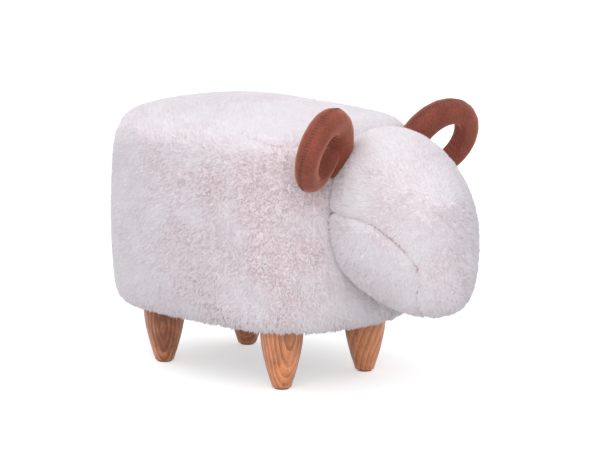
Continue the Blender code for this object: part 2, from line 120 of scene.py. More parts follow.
def new_finish(name, **sockets):
    """A material: its tree and its Principled shader, with the constant sockets set on it."""
    material = bpy.data.materials.new(name)
    material.use_nodes = True
    shader = material.node_tree.nodes["Principled BSDF"]
    for socket, value in sockets.items():
        shader.inputs[socket.replace("_", " ").title()].default_value = value
    return material, material.node_tree, shader


def paint(tree, shader, colour, height, depth):
    """The shader's colour, and bump of a real depth in metres."""
    bump = add_node(tree, "Bump", {"Height": height, "Distance": depth, "Strength": 1.0})
    set_inputs(tree, shader, {"Base Color": colour, "Normal": bump.outputs["Normal"]})


def placed_coordinates(tree, middle=(0, 0, 0), turn=(0, 0, 0), scale=(1, 1, 1)):
    """Object coordinates with the pattern centred on a piece, and turned or stretched there."""
    place = add_node(tree, "TexCoord").outputs["Object"]
    centred = add_node(tree, "Mapping", {"Vector": place, "Location": [-x for x in middle]}).outputs[0]
    turned = add_node(tree, "Mapping", {"Vector": centred, "Rotation": turn, "Scale": scale})
    return turned.outputs["Vector"]


def make_wood_effect():
    """Growth rings round the pattern's Z, darker towards the heart by the amount given, which on the legs
    is partly painted shade, with fine pores drawn along it.
    """
    colours = {"Light": (1, 1, 1, 1), "Dark": (0, 0, 0, 1)}
    inputs = {"Vector": (0, 0, 0), **colours, "Rings": 60.0, "Wander": 2.0, "Heart and shade": 0.0}
    outputs = {"Colour": "Color", "Height": "Float", "Roughness": "Float"}
    group, given, result = new_effect("wood grain", inputs, outputs)
    vector = given["Vector"]
    rings = []
    for share, detail in ((1.0, 1.5), (3.1, 4.0)):
        wave = {
            "Vector": vector,
            "Scale": calculate(group, "MULTIPLY", given["Rings"], share),
            "Distortion": given["Wander"],
            "Detail": detail,
            "Detail Scale": 0.5,
        }
        kinds = {"wave_type": "RINGS", "rings_direction": "Z", "wave_profile": "SAW"}
        rings.append(add_node(group, "TexWave", wave, **kinds).outputs["Fac"])
    long_grain = add_node(group, "Mapping", {"Vector": vector, "Scale": (1, 1, 0.06)}).outputs[0]
    late_wood = remap(group, rings[0], smooth=True, from_min=0.1, to_max=0.42)
    fine_rings = remap(group, rings[1], to_max=0.16)
    streaks = remap(group, noise(group, long_grain, 260.0, 3.0), from_min=0.35, from_max=0.7, to_max=0.32)
    pores = remap(group, noise(group, long_grain, 1300.0, 2.0), from_min=0.52, from_max=0.72, to_max=0.25)
    swing = noise(group, vector, 28.0, 2.0)
    patches = remap(group, swing, from_min=0.3, from_max=0.7, to_min=-0.28, to_max=0.18)
    flat = add_node(group, "VectorMath", {0: vector, 1: (1, 1, 0)}, operation="MULTIPLY").outputs[0]
    radius = add_node(group, "VectorMath", {0: flat}, operation="LENGTH").outputs["Value"]
    near_heart = remap(group, radius, smooth=True, from_max=0.034, to_min=1.0, to_max=0.0)
    shade = calculate(group, "MULTIPLY", near_heart, given["Heart and shade"])
    for part in (late_wood, fine_rings, streaks, pores, patches):
        shade = calculate(group, "ADD", shade, part)
    shade.node.use_clamp = True
    colour = blend(group, shade, given["Light"], given["Dark"])
    rough = remap(group, shade, to_min=0.36, to_max=0.55)
    set_inputs(group, result, {"Colour": colour, "Height": pores, "Roughness": rough})
    return group


wood_grain = make_wood_effect()


def make_timber(name, wood, middle, turn=(0, 0, 0), coat=0.0):
    material, tree, shader = new_finish(name, coat_weight=coat, coat_roughness=0.25)
    grain = use_effect(tree, wood_grain, {"Vector": placed_coordinates(tree, middle, turn), **wood})
    tree.links.new(grain["Roughness"], shader.inputs["Roughness"])
    paint(tree, shader, grain["Colour"], grain["Height"], 0.0001)
    return material


def dress(node, material):
    """A CAD node whose shape is right keeps its mesh and takes this material."""
    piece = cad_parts[node]
    piece.data.materials.clear()
    piece.data.materials.append(material)


for board in ("bottom_board", "seat_board"):
    low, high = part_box(board)
    below = (low + high) / 2 - Vector((0, 0, high.x - low.x))
    dress(board, make_timber(board, PLYWOOD, below, (0, math.pi / 2, 0)))

for post in [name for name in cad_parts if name.startswith("post_")]:
    low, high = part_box(post)
    dress(post, make_timber(post, PINE, low))


# Screws, hanger bolts and tee nuts: zinc-plated steel. The screws hold the boards to the posts, and
# each leg's bolt turns into the nut that is pressed down into the bottom board.
ZINC = (0.62, 0.62, 0.60, 1)


def make_zinc():
    material, tree, shader = new_finish("zinc plate", metallic=1.0)
    vector = placed_coordinates(tree)
    spangle = add_node(tree, "TexVoronoi", {"Vector": vector, "Scale": 900.0}).outputs["Distance"]
    tint = remap(tree, spangle, to_min=1.0, to_max=0.8)
    rough = remap(tree, noise(tree, vector, 320.0, 3.0), to_min=0.25, to_max=0.5)
    set_inputs(tree, shader, {"Base Color": blend(tree, 1.0, ZINC, tint, "MULTIPLY"), "Roughness": rough})
    return material


zinc = make_zinc()
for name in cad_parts:
    if name.startswith(("screw_", "hanger_bolt_", "tee_nut_")):
        dress(name, zinc)


# Wall and fillings: a bent hardboard wall stands round the boards, polyester wadding pads it, a
# block of foam lies on the seat board, and fibre fills the head and the horns. The covers hide all.
FIBRE = ((0.93, 0.93, 0.93, 1), (0.80, 0.80, 0.80, 1), 220.0)
SOFT_INSIDE = {
    "side_wall": ((0.30, 0.18, 0.10, 1), (0.22, 0.12, 0.07, 1), 900.0, 0.0002),
    "side_wadding": ((0.92, 0.92, 0.92, 1), (0.78, 0.78, 0.78, 1), 260.0, 0.0020),
    "seat_foam": ((0.88, 0.83, 0.58, 1), (0.70, 0.62, 0.36, 1), 700.0, 0.0008),
    "head_stuffing": (*FIBRE, 0.0025),
    "head_lining": ((0.82, 0.82, 0.80, 1), (0.66, 0.66, 0.64, 1), 1200.0, 0.0002),
    "horn_stuffing_left": (*FIBRE, 0.0020),
    "horn_stuffing_right": (*FIBRE, 0.0020),
}


def make_mottle_effect():
    """Two colours mixed by soft patches and a finer speckle, with the speckle as height."""
    inputs = {"Vector": (0, 0, 0), "First": (1, 1, 1, 1), "Second": (0, 0, 0, 1), "Scale": 200.0}
    group, given, result = new_effect("mottle", inputs, {"Colour": "Color", "Height": "Float"})
    fine = noise(group, given["Vector"], given["Scale"], 4.0)
    both = calculate(group, "ADD", fine, noise(group, given["Vector"], 30.0, 2.0))
    share = remap(group, both, from_min=0.75, from_max=1.25)
    colour = blend(group, share, given["First"], given["Second"])
    set_inputs(group, result, {"Colour": colour, "Height": fine})
    return group


mottle = make_mottle_effect()


def make_mottled(name, first, second, scale, depth, stretch=(1, 1, 1), **sockets):
    """A cloth, a filling or a plastic in two shades, with its speckle as relief."""
    material, tree, shader = new_finish(name, **sockets)
    vector = placed_coordinates(tree, scale=stretch)
    spots = use_effect(tree, mottle, {"Vector": vector, "First": first, "Second": second, "Scale": scale})
    paint(tree, shader, spots["Colour"], spots["Height"], depth)
    return material


for name, (first, second, scale, depth) in SOFT_INSIDE.items():
    dress(name, make_mottled(name, first, second, scale, depth, roughness=0.95))


# Dust cover: one sheet of thin black spun cloth that closes the underside, pulled flat and stapled
# to the bottom board inside the hem. The legs cover the places where their bolts pass through it.
SPUN_BLACK = ((0.020, 0.020, 0.021, 1), (0.045, 0.045, 0.047, 1))
SAG = 0.0025
SHEET_GRID = 40
STAPLE_PITCH = 0.030
STAPLE_CROWN = 0.010
STAPLE_WIRE = 0.0006
STAPLE_INSET = 0.006
STAPLE_AHEAD = 0.01


def object_from(name, mesh):
    piece = bpy.data.objects.new(name, mesh)
    bpy.context.scene.collection.objects.link(piece)
    return piece


def only(piece):
    """Selects one object alone and makes it the active one."""
    bpy.ops.object.select_all(action="DESELECT")
    piece.select_set(True)
    bpy.context.view_layer.objects.active = piece
    return piece


def apply_modifier(piece, kind, **settings):
    only(piece)
    modifier = piece.modifiers.new(kind.title(), kind)
    adjust(modifier, **settings)
    bpy.ops.object.modifier_apply(modifier=modifier.name)


def points_of(mesh, kind="co"):
    flat = np.empty(len(mesh.vertices) * 3, np.float32)
    mesh.vertices.foreach_get(kind, flat)
    return flat.reshape(-1, 3).astype(float)


def move_points(mesh, points):
    mesh.vertices.foreach_set("co", points.astype(np.float32).ravel())
    mesh.update()


def beyond_corner(out_a, out_b, radius):
    """How far a point lies outside a round corner, from how far it is out past its centre each way."""
    outside = np.hypot(np.maximum(out_a, 0), np.maximum(out_b, 0))
    return outside + np.minimum(np.maximum(out_a, out_b), 0) - radius


def oblong_distance(x, y, half_x, half_y, corner):
    """How far a point lies outside a rounded oblong's outline, or below zero inside it."""
    return beyond_corner(np.abs(x) - (half_x - corner), np.abs(y) - (half_y - corner), corner)


body_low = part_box("cover_side_right")[0].copy()
body_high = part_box("cover_side_left")[1].copy()
BODY_X = (body_low.x + body_high.x) / 2
BODY_CORNER = 0.140


def inset_corner(half_x):
    """The corner radius of an outline drawn inside the body's, at an even distance from it."""
    return BODY_CORNER - (body_high.x - body_low.x) / 2 + half_x


def oblong_reach(angle, half_x, half_y, corner):
    """The distance from the middle of a rounded oblong to its outline, in one direction."""
    low, high = 0.0, half_x + half_y
    for _ in range(24):
        reach = (low + high) / 2
        x, y = reach * math.cos(angle), reach * math.sin(angle)
        inside = oblong_distance(x, y, half_x, half_y, corner) < 0
        low, high = (reach, high) if inside else (low, reach)
    return (low + high) / 2


dust_low, dust_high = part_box("dust_cover")
dust_half_x = (dust_high.x - dust_low.x) / 2
dust_half_y = (dust_high.y - dust_low.y) / 2
dust_corner = inset_corner(dust_half_x)


def make_dust_cover():
    bpy.ops.mesh.primitive_grid_add(
        x_subdivisions=SHEET_GRID, y_subdivisions=SHEET_GRID, size=2, location=(0, 0, 0)
    )
    piece = bpy.context.object
    piece.name = "dust_cloth"
    points = points_of(piece.data)
    square = np.maximum(np.abs(points[:, 0]), np.abs(points[:, 1]))
    angle = np.arctan2(points[:, 1], points[:, 0])
    reach = np.array([oblong_reach(a, dust_half_x, dust_half_y, dust_corner) for a in angle])
    points[:, 0] = BODY_X + np.cos(angle) * reach * square
    points[:, 1] = np.sin(angle) * reach * square
    points[:, 2] = dust_high.z - SAG * (1 - square**2)
    move_points(piece.data, points)
    apply_modifier(piece, "SOLIDIFY", thickness=dust_high.z - dust_low.z, offset=-1)
    return piece


dust_cloth = make_dust_cover()
spun = {"stretch": (1, 0.3, 1), "roughness": 0.9}
dust_cloth.data.materials.append(make_mottled("spun black cloth", *SPUN_BLACK, 600.0, 0.0004, **spun))
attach(dust_cloth, "root")
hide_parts("dust_cover")


def make_staples():
    """Wire staples in a ring near the cloth's edge, each with its crown along the edge."""
    perimeter = 4 * (dust_half_x + dust_half_y) - (8 - 2 * math.pi) * dust_corner
    count = round(perimeter / STAPLE_PITCH)

    def edge_point(angle):
        reach = oblong_reach(angle, dust_half_x - STAPLE_INSET, dust_half_y - STAPLE_INSET, dust_corner)
        return Vector((reach * math.cos(angle), reach * math.sin(angle), 0))

    bpy.ops.mesh.primitive_cube_add(size=1, location=(0, 0, 0))
    staple = bpy.context.object
    staple.name = "dust_staples"
    staple.scale = (STAPLE_CROWN, STAPLE_WIRE, STAPLE_WIRE)
    bpy.ops.object.transform_apply(location=False, rotation=False, scale=True)
    apply_modifier(staple, "BEVEL", width=STAPLE_WIRE / 4, segments=1)
    one = points_of(staple.data)
    whole = bmesh.new()
    for step in range(count):
        angle = 2 * math.pi * step / count
        here = edge_point(angle)
        along = (edge_point(angle + STAPLE_AHEAD) - here).normalized()
        across = Vector((-along.y, along.x, 0))
        middle = here + Vector((BODY_X, 0, dust_low.z - STAPLE_WIRE / 2))
        whole.from_mesh(staple.data)
        for vert, (x, y, z) in zip(list(whole.verts)[-len(one) :], one):
            vert.co = middle + along * x + across * y + Vector((0, 0, z))
    whole.to_mesh(staple.data)
    whole.free()
    staple.data.materials.append(zinc)
    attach(staple, "root")
    return staple


staples = make_staples()


# Legs: four bullet-shaped legs turned from a reddish hardwood, lacquered satin. The turning cuts
# through the growth rings, so each shows cathedral arches. They screw up into the bottom board.
LEG_SIDES = 64
LEG_RINGS = 26
LEG_EDGE = 0.0015
FOOT_RADIUS = 0.0120
FOOT_ROUND = 0.0030
FOOT_STEPS = 6
LEG_FULLNESS = 1.6
LEG_FULL_HEIGHT = 0.077
LEG_CROWDING = 1.3
LEG_TILT = (0.05, 0.07, 0)
SMOOTH_ANGLE = math.radians(35)
LEG_COAT = 0.2
LEG_WOOD = {"Light": (0.80, 0.31, 0.130, 1), "Dark": (0.21, 0.060, 0.023, 1), "Rings": 52.0, "Wander": 2.4}
# Each leg's heart, as its offset from the leg's middle, and how much darker the wood grows near it. That
# darkness is partly heartwood and partly painted shade, set leg by leg: most on the back right leg, which
# stands deepest in shade, and below zero, lightening the wood, on the front left leg, which is lit most.
LEG_HEARTS_AND_SHADE = {
    "front_left": (0.018, 0.006, -0.20),
    "front_right": (0.052, -0.022, 0.14),
    "back_left": (-0.016, 0.020, 0.25),
    "back_right": (0.022, -0.022, 0.72),
}


def leg_radius(height, full_radius):
    swell = 1 - (1 - min(1, height / LEG_FULL_HEIGHT)) ** LEG_FULLNESS
    return FOOT_RADIUS + (full_radius - FOOT_RADIUS) * swell


def leg_rings(low, high, full_radius):
    """(height, radius) pairs up the leg: round its lower edge, up the swell and over the top edge."""
    round_top = low + FOOT_ROUND
    foot_edge = leg_radius(round_top, full_radius)
    rings = []
    for step in range(FOOT_STEPS + 1):
        angle = math.pi / 2 * step / FOOT_STEPS
        height = round_top - FOOT_ROUND * math.cos(angle)
        rings.append((height, foot_edge - FOOT_ROUND * (1 - math.sin(angle))))
    reach = high - LEG_EDGE - round_top
    for step in range(1, LEG_RINGS + 1):
        height = round_top + reach * (step / LEG_RINGS) ** LEG_CROWDING
        rings.append((height, leg_radius(height, full_radius)))
    return [*rings, (high, full_radius - LEG_EDGE)]


def make_leg(place):
    low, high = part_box(f"leg_{place}")
    middle = (low + high) / 2
    rings = leg_rings(low.z, high.z, (high.x - low.x) / 2)
    height, radius = rings[0]
    bpy.ops.mesh.primitive_circle_add(
        vertices=LEG_SIDES, radius=radius, fill_type="NGON", location=(middle.x, middle.y, height)
    )
    leg = bpy.context.object
    leg.name = f"turned_leg_{place}"
    bpy.ops.object.transform_apply(location=True, rotation=False, scale=False)
    bpy.ops.object.mode_set(mode="EDIT")
    bpy.ops.mesh.select_all(action="SELECT")
    for next_height, next_radius in rings[1:]:
        bpy.ops.mesh.extrude_region_move(TRANSFORM_OT_translate={"value": (0, 0, next_height - height)})
        grow = next_radius / radius
        centre = (middle.x, middle.y, next_height)
        bpy.ops.transform.resize(value=(grow, grow, 1), center_override=centre)
        height, radius = next_height, next_radius
    bpy.ops.mesh.select_all(action="SELECT")
    bpy.ops.mesh.normals_make_consistent(inside=False)
    bpy.ops.object.mode_set(mode="OBJECT")
    bpy.ops.object.shade_smooth_by_angle(angle=SMOOTH_ANGLE)
    # The darkness near the heart is partly painted shade for the light on this leg.
    shift_x, shift_y, heart_and_shade = LEG_HEARTS_AND_SHADE[place]
    heart = Vector((middle.x + shift_x, middle.y + shift_y, low.z))
    wood = {**LEG_WOOD, "Heart and shade": heart_and_shade}
    leg.data.materials.append(make_timber(leg.name, wood, heart, LEG_TILT, LEG_COAT))
    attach(leg, "root")
    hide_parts(f"leg_{place}")


for place in LEG_HEARTS_AND_SHADE:
    make_leg(place)


# Glides: a flat disc of dark brown moulded plastic under each leg, with a rounded lower edge. A
# nail through its middle is driven up into the leg's foot.
GLIDE_SIDES = 48
GLIDE_EDGE = 0.0007
GLIDE_BROWN = ((0.060, 0.036, 0.026, 1), (0.095, 0.058, 0.042, 1))


def make_glide(place, material):
    low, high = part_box(f"glide_{place}")
    leg_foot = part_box(f"leg_{place}")[0].z
    thickness = leg_foot - low.z
    middle = (low + high) / 2
    bpy.ops.mesh.primitive_cylinder_add(
        vertices=GLIDE_SIDES,
        radius=(high.x - low.x) / 2,
        depth=thickness,
        location=(middle.x, middle.y, low.z + thickness / 2),
    )
    glide = bpy.context.object
    glide.name = f"nail_glide_{place}"
    bpy.ops.object.transform_apply(location=True, rotation=False, scale=False)
    apply_modifier(glide, "BEVEL", width=GLIDE_EDGE, segments=4, limit_method="ANGLE")
    bpy.ops.object.shade_smooth_by_angle(angle=SMOOTH_ANGLE)
    glide.data.materials.append(material)
    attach(glide, "root")
    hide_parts(f"glide_{place}")


glide_plastic = make_mottled("glide plastic", *GLIDE_BROWN, 500.0, 0.00008, roughness=0.45)
for place in LEG_HEARTS_AND_SHADE:
    make_glide(place, glide_plastic)


# Body cover: a top panel and two side panels of plush on a knitted ground, pulled down over the
# padding and stapled under the hem. The padding pushes it out between its seams.
PILE_DEPTH = 0.0032
BODY_VOXEL = 0.007
COVER_PRESSURE = 4.0
SIM_FRAMES = 20
CLOTH_QUALITY = 4
CLOTH_BENDING = 2.0
HELD_LEAST = 0.01
WELD = 0.00001
SMOOTHING = {"factor": 0.5, "iterations": 6}
BODY_SWELL = 0.004
SEAM_PULL = 0.0030
SEAM_REACH = 0.010
SEAM_CLOSING = 0.0050
CLOSED_SHARE = 0.45
CLOSED_SWING = 0.6
CLOSED_LENGTH = 0.034
CLOSED_SEED = 294
SEAM_OPEN = (0.045, 0.125, 0.345)
OPEN_STRENGTH = 1.6
OPEN_REACH = 0.075
SEAM_DROP = 0.030
DROP_START = -0.01
DROP_REACH = 0.09
EDGE_SLANT = 1.2
HIDDEN_HALF = 0.112
HIDDEN_FADE = 0.080
DRIFT_WAVES = 10
CLOTH_THICKNESS = 0.0012
# The ground's two colours where the fur is ruffled are darker pink: painted shade in the gaps between the
# locks. The third is the ground's colour under smooth fur.
GROUND_PAINTED_SHADE_FIRST = (0.70, 0.58, 0.59, 1)
GROUND_PAINTED_SHADE_SECOND = (0.58, 0.46, 0.47, 1)
GROUND_SMOOTH = (0.88, 0.83, 0.85, 1)
# Painted shade in the seams' creases, fading out over SEAM_SHADE from the seam.
SEAM_PAINTED_SHADE = (0.50, 0.35, 0.33, 1)
SEAM_SHADE = 0.0045

top_low, top_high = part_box("cover_top")
TOP_HALF_X = (top_high.x - top_low.x) / 2
TOP_HALF_Y = (top_high.y - top_low.y) / 2
SEAM_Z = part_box("cover_side_right")[1].z


def skin_from(name, nodes, voxel):
    """One sheet over some CAD panels: copies of them joined and remeshed, with the inside cut away."""
    whole = bmesh.new()
    for node in nodes:
        whole.from_mesh(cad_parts[node].data)
    bmesh.ops.remove_doubles(whole, verts=whole.verts, dist=WELD)
    mesh = bpy.data.meshes.new(name)
    whole.to_mesh(mesh)
    whole.free()
    skin = only(object_from(name, mesh))
    skin.data.remesh_voxel_size = voxel
    bpy.ops.object.voxel_remesh()
    corners = points_of(skin.data)
    middle = Vector((corners.min(0) + corners.max(0)) / 2)
    bpy.ops.object.mode_set(mode="EDIT")
    bpy.ops.mesh.select_mode(type="FACE")
    edit = bmesh.from_edit_mesh(skin.data)
    for face in edit.faces:
        face.select_set(face.normal.dot(face.calc_center_median() - middle) < 0)
    bpy.ops.mesh.delete(type="FACE")
    bpy.ops.object.mode_set(mode="OBJECT")
    apply_modifier(skin, "DISPLACE", strength=-PILE_DEPTH, mid_level=0)
    apply_modifier(skin, "SMOOTH", **SMOOTHING)
    return skin


def swell(skin, held, pressure, cap):
    """Cloth with air behind it, held where it is sewn, and no point moved further than the cap."""
    group = skin.vertex_groups.new(name="sewn")
    for index in np.flatnonzero(held > HELD_LEAST):
        group.add([int(index)], float(held[index]), "REPLACE")
    rest = points_of(skin.data)
    modifier = only(skin).modifiers.new("Cloth", "CLOTH")
    cloth = modifier.settings
    adjust(cloth, vertex_group_mass=group.name, quality=CLOTH_QUALITY, bending_stiffness=CLOTH_BENDING)
    adjust(cloth, use_pressure=True, uniform_pressure_force=pressure)
    cloth.effector_weights.gravity = 0
    modifier.collision_settings.use_collision = False
    modifier.point_cache.frame_end = SIM_FRAMES
    for step in range(1, SIM_FRAMES + 1):
        bpy.context.scene.frame_set(step)
    bpy.ops.object.modifier_apply(modifier=modifier.name)
    bpy.context.scene.frame_set(1)
    moved = points_of(skin.data) - rest
    length = np.linalg.norm(moved, axis=1, keepdims=True)
    move_points(skin.data, rest + moved * np.minimum(1, cap / np.maximum(length, 1e-9)))
    skin.vertex_groups.clear()


def unit(vectors):
    return vectors / np.maximum(np.linalg.norm(vectors, axis=1, keepdims=True), 1e-9)


def square_to(vectors, axes):
    """The part of each vector that stands square to its axis."""
    return vectors - axes * (vectors * axes).sum(axis=1, keepdims=True)


def drift(points, wavelength, seed):
    """A smooth random direction at each point, which changes over about one wavelength."""
    rng = np.random.default_rng(seed)
    headings = unit(rng.normal(size=(DRIFT_WAVES, 3)))
    waves = headings * 2 * math.pi / (wavelength * rng.uniform(0.7, 1.5, (DRIFT_WAVES, 1)))
    angles = points @ waves.T
    phases = rng.uniform(0, 2 * math.pi, (3, DRIFT_WAVES))
    sums = [np.sin(angles + phase).sum(axis=1) for phase in phases]
    return np.stack(sums, axis=1) / math.sqrt(DRIFT_WAVES / 2)


def falloff(distance, reach):
    """One at nothing, falling smoothly to zero at the reach."""
    near = np.clip(1 - distance / reach, 0, 1)
    return near * near * (3 - 2 * near)


def from_spot(points, spot):
    """How far a point lies from a spot, or from its twin on the other side of the stool."""
    return np.linalg.norm(points * (1, 0, 1) + (0, 1, 0) * np.abs(points) - spot, axis=1)


def seam_closing(points):
    """How much further off a seam seems where the fur closes over it, in patches along its length."""
    closed = CLOSED_SHARE + CLOSED_SWING * drift(points, CLOSED_LENGTH, CLOSED_SEED)[:, 0]
    closed -= OPEN_STRENGTH * falloff(from_spot(points, SEAM_OPEN), OPEN_REACH)
    return SEAM_CLOSING * np.clip(closed, 0, 1)


def beyond_top(points):
    """How far a point lies outside the top panel's outline, seen from above."""
    x, y = points[:, 0] - BODY_X, points[:, 1]
    return oblong_distance(x, y, TOP_HALF_X, TOP_HALF_Y, inset_corner(TOP_HALF_X))


def body_seam_distance(points):
    """How far a point lies from the top panel's seam, or from an upright one at the front or back. The
    fur hides the seams along the middle of both ends."""
    x, y, z = points.T
    beyond = beyond_top(points)
    drop = SEAM_DROP * (1 - falloff(np.maximum(0, x - DROP_START), DROP_REACH))
    top_seam = np.abs(beyond - (z - SEAM_Z + PILE_DEPTH) - drop) / EDGE_SLANT
    upright = np.where((beyond > 0) & (np.abs(x - BODY_X) > TOP_HALF_Y), np.abs(y), 1.0)
    hidden = np.clip((HIDDEN_HALF - np.abs(y)) / HIDDEN_FADE, 0, 1) * SEAM_REACH
    return np.minimum(top_seam, upright) + hidden


def normals_of(mesh):
    return points_of(mesh, "normal")


def boundary_held(skin):
    """One at the sheet's open edge, where it is stapled, and zero elsewhere."""
    edit = bmesh.new()
    edit.from_mesh(skin.data)
    held = np.array([float(vert.is_boundary) for vert in edit.verts])
    edit.free()
    return held


def stuff_skin(skin, seam_distance, voxel, cap):
    """The padding pushes the cover out between its seams, and the thread draws the seams down."""
    sewn = falloff(seam_distance(points_of(skin.data)), 2 * voxel)
    swell(skin, np.maximum(boundary_held(skin), sewn), COVER_PRESSURE, cap)
    apply_modifier(skin, "SUBSURF", levels=1, render_levels=1)
    points = points_of(skin.data)
    drawn = SEAM_PULL * falloff(seam_distance(points), SEAM_REACH)
    move_points(skin.data, points - normals_of(skin.data) * drawn[:, None])


def painted(tree, name):
    return add_node(tree, "Attribute", attribute_name=name).outputs["Fac"]


def make_ground():
    """Pale under smooth fur, and darker pink where the fur is ruffled and in the seams: that pink is
    painted shade, in the gaps between the locks and in the seams' creases.
    """
    material, tree, shader = new_finish("plush ground", roughness=1.0)
    shades = {"First": GROUND_PAINTED_SHADE_FIRST, "Second": GROUND_PAINTED_SHADE_SECOND, "Scale": 800.0}
    spots = use_effect(tree, mottle, {"Vector": placed_coordinates(tree), **shades})
    # Darker pink where the fur is ruffled: painted shade in the gaps between the locks.
    ground = blend(tree, painted(tree, "ruffle"), GROUND_SMOOTH, spots["Colour"])
    # Darker still along the seams: painted shade in their creases.
    colour = blend(tree, painted(tree, "seam"), ground, SEAM_PAINTED_SHADE)
    paint(tree, shader, colour, spots["Height"], 0.0004)
    return material


plush_ground = make_ground()


def write_layer(mesh, name, values):
    """One number for each point of a mesh, for its material to read."""
    layer = mesh.attributes.new(name, "FLOAT", "POINT")
    layer.data.foreach_set("value", values.astype(np.float32))


def clothe(piece, material):
    """Smooth shading, and one material in place of those that a piece was copied with."""
    piece.data.shade_smooth()
    piece.data.materials.clear()
    piece.data.materials.append(material)


def finish_skin(skin, nodes, seam_distance, style):
    points = points_of(skin.data)
    # The seam layer sets where the ground takes the seams' painted shade, in the crease that the thread
    # draws in and where the fur parts.
    write_layer(skin.data, "seam", falloff(seam_distance(points) + seam_closing(points), SEAM_SHADE))
    # The ruffle layer sets how much painted shade the ground takes between the locks.
    write_layer(skin.data, "ruffle", ruffled(points)[:, 0] * style["ruffle"])
    apply_modifier(skin, "SOLIDIFY", thickness=CLOTH_THICKNESS, offset=-1)
    clothe(skin, plush_ground)
    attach(skin, "root")
    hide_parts(*nodes)


BODY_NODES = ("cover_top", "cover_side_left", "cover_side_right")
body_skin = skin_from("body_cover", BODY_NODES, BODY_VOXEL)
stuff_skin(body_skin, body_seam_distance, BODY_VOXEL, BODY_SWELL)


# Pile: the plush's off-white fur. Each tuft is a slim leaf, pointed at both ends, that stands in the
# cover. Neighbours lean together into small locks of uneven height, with pinkish ground between. In
# ruffled fur the pink of that ground, the darker roots and the pinker tips are painted shade.
TUFT_LENGTH = 0.0072
TUFT_LENGTHS = (0.85, 1.05)
TUFT_WIDTH = 0.0008
TUFT_WIDTHS = (0.75, 1.25)
TUFT_THICKNESS = 0.0004
TUFT_BROADEST = 0.4
TUFT_LEAN = 0.8
TUFT_SINK = 0.0009
TUFT_LIMIT = 48000
TIP_STRAY = 0.12
SIDE_STRAY = 0.35
NORMAL_STRAY = 0.10
LEAF_TILT = 0.75
GATHERED = (0.6, 1.0)
SWAY = 0.15
SWAY_LENGTH = 0.060
CURL = 0.7
CURL_LENGTH = 0.010
NAP_LEVEL = 1.5
NAP_EASE = 0.08
SLOPE_STEP = 0.001
HEM_HANG = 0.030
HEM_RUFFLE = 0.5
HEM_GROWTH = 0.35
HORN_ROOT = (0.135, 0.075, 0.318)
ROOT_REACH = 0.055
RUFFLE_LEAST = 0.06
RUFFLE_START = -0.18
RUFFLE_REACH = 0.15
RUFFLE_DROP = 0.035
RUFFLE_SHARE = 0.75
RUFFLE_SWING = 0.35
RUFFLE_LENGTH = 0.075
RUFFLE_SEED = 3
SEAM_BARE = 0.0014
BARE_SPREAD = (0.2, 1.8)
SEAM_PART = 0.010
PART_SPREAD = (0.2, 1.0)
PART_SHORTENS = 0.7
TOP_BAND = 0.03
# Tips take the second tone at random, and more of it in ruffled fur, where it is painted shade. The root
# colour is painted shade low in ruffled fur.
TIP_COLOUR = (0.93, 0.895, 0.92, 1)
TIP_SECOND_AND_SHADE = (0.83, 0.745, 0.78, 1)
ROOT_PAINTED_SHADE = (0.74, 0.60, 0.61, 1)


def scatter(mesh, count, wanted, rng):
    """Random points on a mesh, with their normals, as dense as the wanted share of each triangle."""
    mesh.calc_loop_triangles()
    corners = np.empty(len(mesh.loop_triangles) * 3, np.int32)
    mesh.loop_triangles.foreach_get("vertices", corners)
    corners = corners.reshape(-1, 3)
    points = points_of(mesh)
    a, b, c = (points[corners[:, i]] for i in range(3))
    area = np.linalg.norm(np.cross(b - a, c - a), axis=1) / 2 * wanted((a + b + c) / 3)
    running = np.cumsum(area)
    picks = np.searchsorted(running, (np.arange(count) + rng.random(count)) / count * running[-1])
    picks = np.minimum(picks, len(corners) - 1)
    shares = rng.random((count, 2))
    over = shares.sum(axis=1) > 1
    shares[over] = 1 - shares[over]
    shares = np.column_stack([1 - shares.sum(axis=1), shares])

    def between(values):
        return sum(values[corners[picks, i]] * shares[:, i : i + 1] for i in range(3))

    return between(points), unit(between(normals_of(mesh)))


def away_from(seam_distance, points):
    """The direction in which the seam is left behind fastest, at each point."""
    steps = np.eye(3) * SLOPE_STEP
    slopes = [seam_distance(points + step) - seam_distance(points - step) for step in steps]
    return unit(np.stack(slopes, axis=1))


def ruffled(points):
    """How far the nap is ruffled, which also sets the painted shade in its gaps: smooth over the top and
    rear, curled at the front, the horn roots and the hem.
    """
    forwards = np.clip((points[:, 0] - RUFFLE_START) / RUFFLE_REACH, 0, 1)
    below = np.clip((SEAM_Z - points[:, 2]) / RUFFLE_DROP, 0, 1)
    swing = RUFFLE_SWING * drift(points, RUFFLE_LENGTH, RUFFLE_SEED)[:, 0]
    patches = np.clip(RUFFLE_SHARE + swing, 0, 1)
    hem = np.clip(1 - (points[:, 2] - body_low.z) / HEM_HANG, 0, 1) * HEM_RUFFLE
    beside_horn = falloff(from_spot(points, HORN_ROOT), ROOT_REACH)
    ruffle = RUFFLE_LEAST + (1 - RUFFLE_LEAST) * forwards * below * patches
    return np.maximum.reduce([ruffle, hem, beside_horn])[:, None]


def nap(points, ups):
    """The way the pile is brushed: down the upright sides, and in towards the middle over the top."""
    inwards = np.column_stack([BODY_X - points[:, 0], -points[:, 1], np.zeros(len(points))])
    inwards /= np.maximum(np.linalg.norm(inwards, axis=1, keepdims=True), NAP_EASE)
    level = np.clip(ups[:, 2:3] * NAP_LEVEL, 0, 1)
    return inwards * level + np.array((0, 0, -1.0)) * (1 - level)


